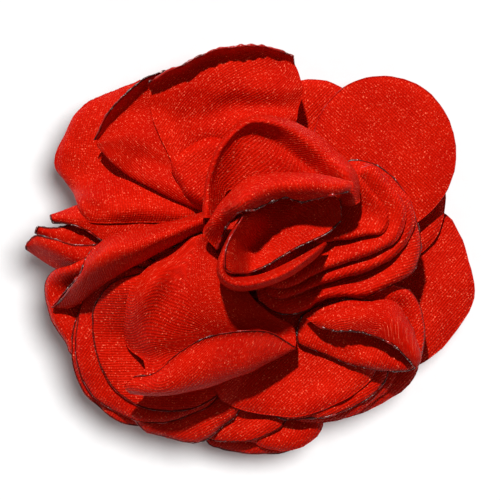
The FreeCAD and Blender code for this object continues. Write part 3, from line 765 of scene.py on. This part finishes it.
def make_inner_petals():
    """Top whorl: nested rings at the right, the bag-shaped petal with its turned-up flap, and the bud."""
    # The bag's first two rows are its gathered neck, round the sewing thread
    petal("petal_bag", "inner_petal_02", [
        [(-7, 1.5, 2), (-5, 6.5, 2), (2, 9.5, 2), (10, 7.5, 2), (14, 0, 2), (10, -6.5, 2), (2, -9, 2),
         (-5, -7, 2), (-7.2, -1, 2)],
        [(-8, 1.8, 9), (-5.2, 6.4, 10), (2, 8, 10), (8, 6, 10), (11, 0, 10), (8, -5.5, 10), (2, -7.6, 10),
         (-4.6, -6, 10), (-7, -1, 9.5)],
        [(-14.5, 2.6, 11), (-12.4, 3.8, 13.5), (-10.4, 3.2, 13.5), (-8.6, 0.5, 11)],
        [(-22.4, -2.2, 10), (-16, -1, 16), (-10, -1.5, 16.5), (-4, -5, 13)],
        [(-28.6, -8.5, 9), (-21, -7.5, 17.5), (-10, -8, 17.5), (1, -12, 13)],
        [(-30.3, -17.7, 9), (-22, -15, 17.5), (-11, -14.5, 17), (6, -16, 13)],
        [(-29.6, -23.5, 9), (-21.5, -21.5, 16), (-10, -19, 15), (10, -18, 12.5)],
        [(-25.5, -27.5, 12), (-19.5, -27, 13.5), (-8, -24, 12.5), (11, -20.5, 11.5)],
        [(-27.6, -34.2, 13), (-20.8, -34.9, 15.5), (-8, -32.2, 16.5), (11, -24, 13)],
        [(-30.4, -32.8, 15.5), (-21.8, -33, 19.5), (-9, -28, 20.6), (11, -23.6, 14.2)],
        [(-28, -30.4, 16.5), (-22.8, -29.3, 18), (-17, -24.6, 19.2), (-10, -20.7, 19.6), (-1.3, -19.3, 18.5),
         (5, -19.8, 16.5), (10.8, -23.3, 14.4)],
    ], wave=0.3, held="folded", ribs=35, cut="long", seed=32)
    petal("petal_right_fold_high", "inner_petal_05", [
        [(16, -17.4, 8.2), (20.5, -18, 7.6), (25, -18.2, 7.6), (29, -19, 7.6), (33, -20.6, 7.6),
         (36.5, -23.4, 7.6), (39.6, -27.8, 8)],
        [(14.8, -16.5, 8.8), (20.4, -15.4, 8.5), (26, -14.8, 8.5), (33, -14.4, 8.5), (37.8, -18.8, 8.5),
         (40.2, -25, 8.5), (40.3, -28, 8.5)],
        [(13.6, -16.4, 10), (20.2, -14.3, 10.6), (26, -13.2, 11), (34.4, -12.3, 11), (39, -18.4, 10.6),
         (41.4, -25.3, 10), (40.6, -28.6, 9.4)],
        [(14.4, -16.9, 10.8), (20.4, -16.4, 12.2), (26, -16, 12.8), (33, -16.4, 13), (37, -20.4, 12.4),
         (40, -25.6, 11.4), (40.3, -28.5, 10.2)],
        [(15.8, -17.9, 10.6), (20.2, -19.3, 11.6), (25, -19.4, 12), (29, -20.3, 12), (33.2, -22, 11.8),
         (36.6, -24.5, 11.2), (39.9, -28.4, 10)],
    ], wave=0.25, held="folded", frayed=0.4, ribs=10, cut="slim", seed=35)
    lobe("ring_outermost", "inner_petal_01", [
        (20, 20), (30, 21), (37, 15), (40.2, 8), (41.2, 2), (40.9, -0.8), (39.2, -4.7), (35.3, -7.5),
        (30.3, -10.2), (26.4, -11.4), (21.8, -11.2), (17, -12), (12.8, -14.2), (7.4, -15), (3.2, -13),
        (1.6, -9.4), (6, 4),
    ], (20, 1), 9, 11.5, roll=1.3, frayed=0.25, ribs=20, cut="largest", seed=31)
    lobe("ring_outer", "inner_petal_04", [
        (28, 21), (32.5, 18.2), (35.8, 15.6), (38.4, 12), (39.6, 8.1), (39.3, 4.8), (37.5, 1.4),
        (33.6, -2.1), (28, -4.4), (20.8, -6.6), (15.3, -8.8), (10, -11), (6.4, -11.4), (3.8, -9.4), (6, 0),
        (8, 6), (18, 18),
    ], (21, 3), 11.5, 14, roll=1.1, frayed=0.15, singed=False, cut="oval", seed=34)
    lobe("ring_middle", "inner_petal_03", [
        (27.5, 20), (29.6, 20.4), (32, 17.8), (34.9, 14.8), (37.2, 11.7), (37.8, 8.7), (37.2, 5.8),
        (35.2, 2.6), (31.9, 0.6), (26.4, -1.4), (20.8, -3.4), (15.3, -5.4), (10.6, -8), (6, -9), (2.6, -7),
        (8, 6), (18, 17),
    ], (20, 6), 13.5, 16, roll=1.1, frayed=0.15, ribs=70, singed=False, cut="oval", seed=33)
    lobe("ring_innermost", "inner_petal_08", [
        (24, 19), (28, 16), (30, 14), (32, 11.8), (33.6, 8.7), (33.2, 5.9), (31.6, 4.2), (28, 3.9),
        (21.6, 2.7), (15, 2), (11, 7), (15, 15),
    ], (22, 10), 15.5, 17, roll=0.7, ribs=60, cut="small", singed=False, seed=38)
    lobe("petal_bud_left", "inner_petal_06", [
        (-19.6, 20.8), (-19, 22.8), (-15, 25.4), (-8.9, 27.1), (-3, 23), (-4, 14), (-10.4, 11.5),
        (-14.8, 13), (-17, 15.6), (-18.8, 18.2),
    ], (-10, 19), 16, 13.5, roll=0.8, ribs=40, cut="small", singed=False, seed=36)
    petal("petal_bud_back", "inner_petal_07", [
        [(-8, 8, 15), (-6, 14, 16.4), (-4, 15, 17), (-1, 16, 17.5), (2, 17, 17.5), (6, 17.5, 17.5),
         (10, 17.5, 17), (14, 16.5, 16.5), (18, 14, 16), (20, 10, 15)],
        [(-8.8, 8, 16), (-8, 15.5, 17.4), (-5.8, 19, 18.2), (-3, 22, 18.6), (1, 23.5, 18.6), (5, 23, 18.4),
         (9, 21.5, 18), (13.5, 19, 17.4), (18.5, 15, 16.8), (21, 10, 15.5)],
        [(-9.6, 8, 17), (-9, 16, 18.3), (-7.2, 21.5, 19.3), (-4.4, 25.8, 19.6), (0.6, 29, 19.2),
         (4, 28, 18.4), (8, 25.3, 18), (12.5, 22, 17.4), (17.5, 17.5, 16.8), (21.5, 10.5, 16)],
        [(-10.6, 8, 17.6), (-10.2, 15.6, 19.3), (-8.6, 21.6, 21), (-6, 26.4, 21.8), (-0.6, 30.8, 22.2),
         (5, 30.8, 22.4), (10.5, 28.4, 22.2), (16, 24.2, 21.6), (22, 18.5, 20.4), (24.5, 10.8, 18.5)],
        [(-11.4, 8, 16), (-11, 15.4, 17.4), (-9.3, 21.2, 18), (-7.1, 26, 18), (-1.5, 31.9, 18),
         (5.2, 32.6, 18), (11.2, 31.1, 18), (18.5, 26.4, 17.5), (25.1, 19, 16.5), (26.3, 12, 15)],
        [(-10.8, 8, 13.5), (-10.4, 15.4, 14.5), (-8.6, 21, 14.5), (-6.5, 25.5, 14.5), (-1.3, 31, 14.5),
         (5.1, 31.6, 14.5), (10.8, 30.1, 14.5), (17.8, 25.6, 14), (24.3, 18.5, 13), (25.5, 12, 12)],
    ], wave=0.2, held="folded", ribs=20, singed=False, cut="largest", seed=37)
    petal("petal_bud_cup_outer", "inner_petal_10", [
        [(0, 9, 17), (-3.4, 4, 17), (-5.3, -1, 16.5), (-5.6, -4.3, 16), (-4.4, -6, 15.5), (-1, -6.4, 15),
         (4, -5.2, 15), (10, -2.4, 15), (17, 1.4, 16)],
        [(-1.2, 9, 21), (-4.3, 4, 21), (-6.6, -1.4, 20.6), (-7, -5, 20), (-5.6, -7.2, 19.4),
         (-2.4, -8.2, 19), (2.5, -7.5, 18.8), (9, -4.9, 18.8), (15, -0.6, 18), (18, 2, 16.4)],
        [(-1.8, 8.6, 15), (-5.1, 3.5, 15), (-7.5, -1.7, 14.5), (-7.9, -5.2, 14), (-6.5, -8, 13.5),
         (-3.1, -9.5, 13), (2.5, -8.9, 13), (9, -6.4, 13), (15.6, -1.8, 14), (18.2, 1.6, 15.6)],
        [(-1.8, 7.2, 10.5), (-5, 2.6, 10.5), (-7.2, -2, 10), (-7.6, -5, 10), (-6.2, -7.4, 10),
         (-3, -8.8, 10), (2.5, -8.2, 10), (8.6, -5.8, 10), (14, -2, 11), (16.4, 1, 12)],
        [(-1.8, 6.4, 6), (-4.8, 2.2, 6), (-6.8, -2.2, 6), (-7.2, -4.8, 6), (-5.9, -6.9, 6), (-2.8, -8, 6),
         (2.4, -7.4, 6), (8, -5, 6), (13, -1.6, 7), (15, 0.8, 8)],
    ], wave=0.08, held="folded", singed=False, cut="large", seed=40)
    petal("petal_bud_cup_inner", "inner_petal_11", [
        [(-3, 10.5, 16), (-1, 12.5, 16), (1, 14, 16), (4, 15, 16), (7, 15.5, 16), (10, 15.5, 16),
         (13, 15.5, 16), (17, 15, 17), (21.5, 12.5, 19)],
        [(-2.2, 9.6, 19), (-1.4, 8.8, 18), (0.8, 9, 17), (3.2, 9.4, 16.4), (6, 9.8, 16), (9, 10.4, 16),
         (12, 11.2, 16), (16, 12, 16.6), (21.8, 10.8, 19)],
        [(-2, 9.2, 20.5), (-1.8, 6.4, 18.8), (-1.8, 3.6, 17.6), (-1.2, 1.6, 16.8), (1.4, 2, 16.2),
         (4.8, 4, 16), (8.4, 6.2, 16), (13, 8.2, 16.4), (21.9, 9, 19.4)],
        [(-1.7, 9, 21.4), (-2.8, 6, 20.6), (-3.8, 3, 19.8), (-4, 0, 19), (-2.6, -1.6, 18.4),
         (0.6, -1.2, 18.2), (5, 0.4, 18.4), (11, 4, 18.8), (21.9, 8, 19.8)],
        [(-1.5, 8.9, 22), (-3.3, 5.8, 22), (-5.2, 2.4, 21.6), (-6.2, -1.3, 21), (-5.8, -4.7, 20.2),
         (-2, -5.4, 20), (3, -4, 20.6), (11, 0.6, 21.2), (18.2, 4, 20.8), (21.8, 7.2, 20)],
    ], wave=0.08, held="folded", frayed=0.15, ribs=10, cut="slim", seed=41)
    petal("petal_bud_lip", "inner_petal_09", [
        [(-8, 5, 12.5), (-4.6, 9, 12.5), (-1.4, 12, 12.5), (1.4, 14, 12.5), (5.5, 15.5, 12.5),
         (11, 15.8, 12.5), (16, 15.4, 13), (21.6, 14, 14)],
        [(-10.4, 6.2, 16), (-6.3, 10.8, 18), (-2.8, 14.4, 19.5), (0.2, 16.4, 20.5), (5, 17.3, 21),
         (11, 17.4, 21), (17, 17.2, 20.5), (23.5, 15.7, 19)],
        [(-11.2, 4.8, 19.4), (-7.4, 11.2, 21.6), (-3.5, 15.4, 23), (-0.5, 17.5, 23.8), (4.3, 18.4, 24.2),
         (11.1, 18.5, 24), (16.7, 18.2, 23.6), (24.2, 16.4, 21.6)],
        [(-10.8, 3.4, 20.3), (-7.2, 8.8, 23.2), (-2.5, 13.2, 25.3), (1, 14.2, 26), (5.5, 15.4, 26.3),
         (10.5, 15.6, 26.1), (16.5, 15.8, 25.4), (24.4, 15.2, 22.4)],
        [(-8.2, 0.4, 19), (-6, 5.4, 21.4), (-2.8, 9.2, 23.8), (0.6, 9.7, 25.2), (4, 11.3, 25.4),
         (8.6, 12.9, 25.2), (11.6, 11.7, 25), (16.4, 12.6, 24.4), (23.4, 14.2, 22)],
    ], wave=0.12, held="folded", frayed=0.8, ribs=35, cut="oval", seed=39)


# ---- backing, thread, glue, spring


# Felt, thread, glue and spring: millimetres, and radians for the lean
FELT_INSET = 0.03
FELT_FUZZ = 0.06
DISC_UNEVENNESS = 0.12
KEEPER_GAUGE = 0.8
KEEPER_CLEARANCE = 0.45
STITCHES = 36
STITCH_LEAN = 0.05
STITCH_RADIUS = 0.19
STRANDS = 3
STRAND_TURNS = 5
STRAND_RADIUS = 0.4
STRAND_OFFSET = 0.42
GLUE_SPREAD = 1.25
GLUE_CORNER = 0.6
WIRE_RADIUS = 0.35
COIL_TURNS = 3.5
SPRING_LEG = 10.3
LEG_RISE, LEG_FALL = math.radians(10.0), math.radians(15.5)


def box_mm(node_name):
    """Low and high corners of a CAD node, millimetres."""
    return [np.array(corner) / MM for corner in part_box(node_name)]


def slab(name, outline, low, high, node_name, seed):
    """Felt slab over a closed outline, its faces a little uneven and its edge furry."""
    turns, rings = len(outline), 14
    outline = np.asarray(outline, float)
    middle = outline.mean(axis=0)
    half, level = (high - low) / 2, (high + low) / 2
    profile = [(s, 1.0) for s in np.linspace(0.02, 0.985, rings)] + [(0.998, 0.7), (1.0, 0.0), (0.998, -0.7)]
    profile += [(s, -1.0) for s in np.linspace(0.985, 0.02, rings)]
    points = []
    for share, side in profile:
        xy = middle + (outline - middle) * share
        bumps = FELT_FUZZ * ripples(xy, seed, 2.5) * abs(side)
        points.append(np.column_stack([xy, np.full(turns, level + side * half) - side * np.abs(bumps)]))
    points = np.concatenate(points)
    faces = grid_faces(len(profile), turns, True)
    faces += [tuple(range(turns)), tuple(range(len(points) - turns, len(points)))[::-1]]
    piece = add_piece(name, points, faces, [FELT], "felt")
    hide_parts(node_name)


def make_felt():
    """Backing disc and base disc, cut by hand and so not quite round."""
    turn = np.linspace(0, TAU, 160, endpoint=False)
    for name, node_name, seed in (("felt_backing", "backing_disc", 60), ("felt_base", "base_disc", 61)):
        low, high = box_mm(node_name)
        round_rim = np.stack([turn * FELT_RADIUS, turn * 0], axis=1)
        away = FELT_RADIUS + DISC_UNEVENNESS * ripples(round_rim, seed, 5.0)
        outline = np.stack([away * np.cos(turn), away * np.sin(turn)], axis=1)
        slab(name, outline, low[2] + FELT_INSET, high[2] - FELT_INSET, node_name, seed)


def make_keeper():
    """Felt strip that passes over the fixed jaw, inside the mouth."""
    low, high = box_mm("keeper_strip")
    half, reach = KEEPER_GAUGE / 2, high[1]
    side = box_mm("upper_jaw")[1][1] + KEEPER_CLEARANCE
    rise = [(side - 0.2, low[2] + half), (side, high[2] - 0.9)]
    rise += [(side + 0.4, high[2] - half), (reach, high[2] - half)]
    across = curve([(-y, z) for y, z in rise[::-1]] + rise, 70)
    away = np.gradient(across, axis=0)
    away = np.stack([-away[:, 1], away[:, 0]], axis=1) / np.linalg.norm(away, axis=1, keepdims=True)
    loop = np.concatenate([across + away * KEEPER_GAUGE / 2, (across - away * KEEPER_GAUGE / 2)[::-1]])
    stations = np.linspace(low[0], high[0], 16)
    points = []
    for x in stations:
        wobble = 0.04 * ripples(loop + x, 71, 2.0)
        points.append(np.column_stack([np.full(len(loop), x), loop[:, 0], loop[:, 1] + wobble]))
    count = len(stations) * len(loop)
    faces = grid_faces(len(stations), len(loop), True)
    faces += [tuple(range(len(loop)))[::-1], tuple(range(count - len(loop), count))]
    piece = add_piece("felt_keeper", np.concatenate(points), faces, [FELT], "felt")
    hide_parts("keeper_strip")


def make_whip_stitches():
    """Stitches over the felt's rim, all the way round."""
    low, high = box_mm("backing_disc")[0][2], box_mm("base_disc")[1][2]
    radius, lean = box_mm("backing_disc")[1][0], STITCH_LEAN
    under = [(radius - 2.0, low - 0.05, -lean), (radius - 0.8, low - 0.22, -lean / 2)]
    rim = [(radius + 0.15, low + 0.1, 0), (radius + 0.25, (low + high) / 2, 0)]
    over = [(radius + 0.15, high - 0.1, 0), (radius - 0.8, high + 0.16, lean / 2)]
    path = under + rim + over
    r = np.random.default_rng(80)
    stitches = []
    for i in range(STITCHES):
        turn = TAU * (i + r.uniform(-0.15, 0.15)) / STITCHES
        line = [(away * math.cos(turn + s), away * math.sin(turn + s), z) for away, z, s in path]
        stitches.append(tube(curve(line, 22), STITCH_RADIUS))
    piece = add_piece("whip_stitches", *gather(stitches), [THREAD], "thread")
    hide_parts("edge_stitches")


def make_sewing_thread():
    """Strands twisted together, up through the petals' heels."""
    bottom = box_mm("stitching_thread")[0][2]
    height = float(STACK.sample(STACK.top, np.zeros(2))) - THREAD_COVER - bottom
    t = np.linspace(0, 1, 60)
    strands = []
    for k in range(STRANDS):
        turn = TAU * (STRAND_TURNS * t + k / STRANDS)
        line = [STRAND_OFFSET * np.cos(turn), STRAND_OFFSET * np.sin(turn), bottom + height * t]
        strands.append(tube(np.stack(line, axis=1), STRAND_RADIUS, 7))
    piece = add_piece("sewing_thread", *gather(strands), [THREAD], "thread")
    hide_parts("stitching_thread")


def make_glue():
    """Run of hot glue squeezed out a little past the fixed jaw."""
    low, high = box_mm("glue_pad")
    turn = np.linspace(0, TAU, 90, endpoint=False)
    half_long, half_wide = (high[0] - low[0]) / 2, (high[1] - low[1]) / 2
    middle = (low[0] + high[0]) / 2
    x = middle + half_long * np.sign(np.cos(turn)) * np.abs(np.cos(turn)) ** GLUE_CORNER
    y = half_wide * GLUE_SPREAD * np.sign(np.sin(turn)) * np.abs(np.sin(turn)) ** GLUE_CORNER
    outline = np.stack([x, y], axis=1)
    outline[:, 1] += 0.5 * ripples(outline, 90, 6.0) * np.sign(outline[:, 1])
    centre = np.array([middle, 0.0])
    profile = [(0.05, low[2]), (0.9, low[2]), (1.0, low[2] + 0.15)]
    profile += [(1.0, high[2] - 0.12), (0.9, high[2]), (0.05, high[2])]
    points = []
    for share, z in profile:
        points.append(np.column_stack([centre + (outline - centre) * share, np.full(len(outline), z)]))
    faces = grid_faces(len(profile), len(outline), True)
    piece = add_piece("glue_run", np.concatenate(points), faces, [GLUE], "hot_glue")
    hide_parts("glue_pad")


def make_spring():
    """Wire spring: a leg on the fixed handle, the coil, and a leg that follows the moving handle."""
    joint = next(j for j in frame["joints"] if j["name"] == "clip_hinge")
    hinge = np.array(joint["pos_m"]) / MM
    high = box_mm("torsion_spring")[1]
    half = high[1] - WIRE_RADIUS
    radius = high[0] - hinge[0] - WIRE_RADIUS
    turn = LEG_RISE + (COIL_TURNS * TAU - LEG_RISE - LEG_FALL) * np.linspace(0, 1, 150)
    y = np.linspace(-half, half, 150)
    coil = np.stack([hinge[0] + radius * np.sin(turn), y, hinge[2] + radius * np.cos(turn)], axis=1)
    out = np.linspace(1, 0, 24, endpoint=False)[:, None]
    first_leg = coil[0] + SPRING_LEG * out * np.array([-math.cos(LEG_RISE), 0, math.sin(LEG_RISE)])
    last_leg = coil[-1] + SPRING_LEG * out[::-1] * np.array([-math.cos(LEG_FALL), 0, -math.sin(LEG_FALL)])
    points, faces = tube(np.concatenate([first_leg, coil, last_leg]), WIRE_RADIUS, 10)
    piece = add_piece("spring_coil", points, faces, [WIRE], "spring_steel", body=None)
    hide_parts("torsion_spring")
    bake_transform(piece)


def dress_steel():
    """Plate on the stamped jaws and the pin, which keep their CAD shapes."""
    for name in ("upper_jaw", "lower_jaw", "hinge_pin"):
        finishes = frame["nodes"][name].data.materials
        if not finishes:
            finishes.append(NICKEL)
        for i in range(len(finishes)):
            finishes[i] = NICKEL


# ---- stage


def lamp(name, strength, width, azimuth, elevation):
    """Distant lamp of a given apparent width, all angles in degrees."""
    light = bpy.data.lights.new(name, "SUN")
    light.energy, light.angle = strength, math.radians(width)
    made = bpy.data.objects.new(name, light)
    bpy.context.scene.collection.objects.link(made)
    turn, rise = math.radians(azimuth), math.radians(elevation)
    way = Vector((math.cos(turn) * math.cos(rise), math.sin(turn) * math.cos(rise), math.sin(rise)))
    made.rotation_euler = way.to_track_quat("Z", "Y").to_euler()
    return made


def make_ground():
    """Plain white ground just under the clip."""
    mesh = bpy.data.meshes.new("ground")
    wide = 3.0
    corners = [(-wide, -wide, 0), (wide, -wide, 0), (wide, wide, 0), (-wide, wide, 0)]
    mesh.from_pydata(corners, [], [(0, 1, 2, 3)])
    mesh.materials.append(PAPER)
    ground = bpy.data.objects.new("ground", mesh)
    bpy.context.scene.collection.objects.link(ground)
    ground.location.z = -0.0002
    return ground


def make_lamps(ground):
    """Key lamp that leaves out the ground, broad overhead lamp for the ground alone, faint light all round."""
    key = lamp("key", strength=4.5, width=3, azimuth=100, elevation=53)
    overhead = lamp("overhead", strength=3.6, width=24, azimuth=42, elevation=73)
    for light, state in ((key, "EXCLUDE"), (overhead, "INCLUDE")):
        linked = bpy.data.collections.new("ground_for_" + light.name)
        linked.objects.link(ground)
        light.light_linking.receiver_collection = linked
        linked.collection_objects[0].light_linking.link_state = state

    world = bpy.data.worlds.new("studio")
    bpy.context.scene.world = world
    world.use_nodes = True
    world.node_tree.nodes["Background"].inputs["Color"].default_value = (1, 1, 1, 1)
    world.node_tree.nodes["Background"].inputs["Strength"].default_value = 0.20


def make_camera():
    """Long lens, square on from above."""
    lens = bpy.data.cameras.new("camera")
    lens.lens = 300.0
    lens.sensor_width = 36.0
    seen_width, flower_level = 0.122, 0.022
    camera = bpy.data.objects.new("camera", lens)
    camera.location = (-0.0001, 0.0002, flower_level + seen_width * lens.lens / lens.sensor_width)
    bpy.context.scene.collection.objects.link(camera)
    bpy.context.scene.camera = camera
    bpy.context.scene.view_settings.view_transform = "Standard"


make_lamps(make_ground())
make_camera()
make_outer_petals()
make_middle_petals()
make_inner_petals()
make_felt()
make_keeper()
make_whip_stitches()
make_sewing_thread()
make_glue()
make_spring()
dress_steel()
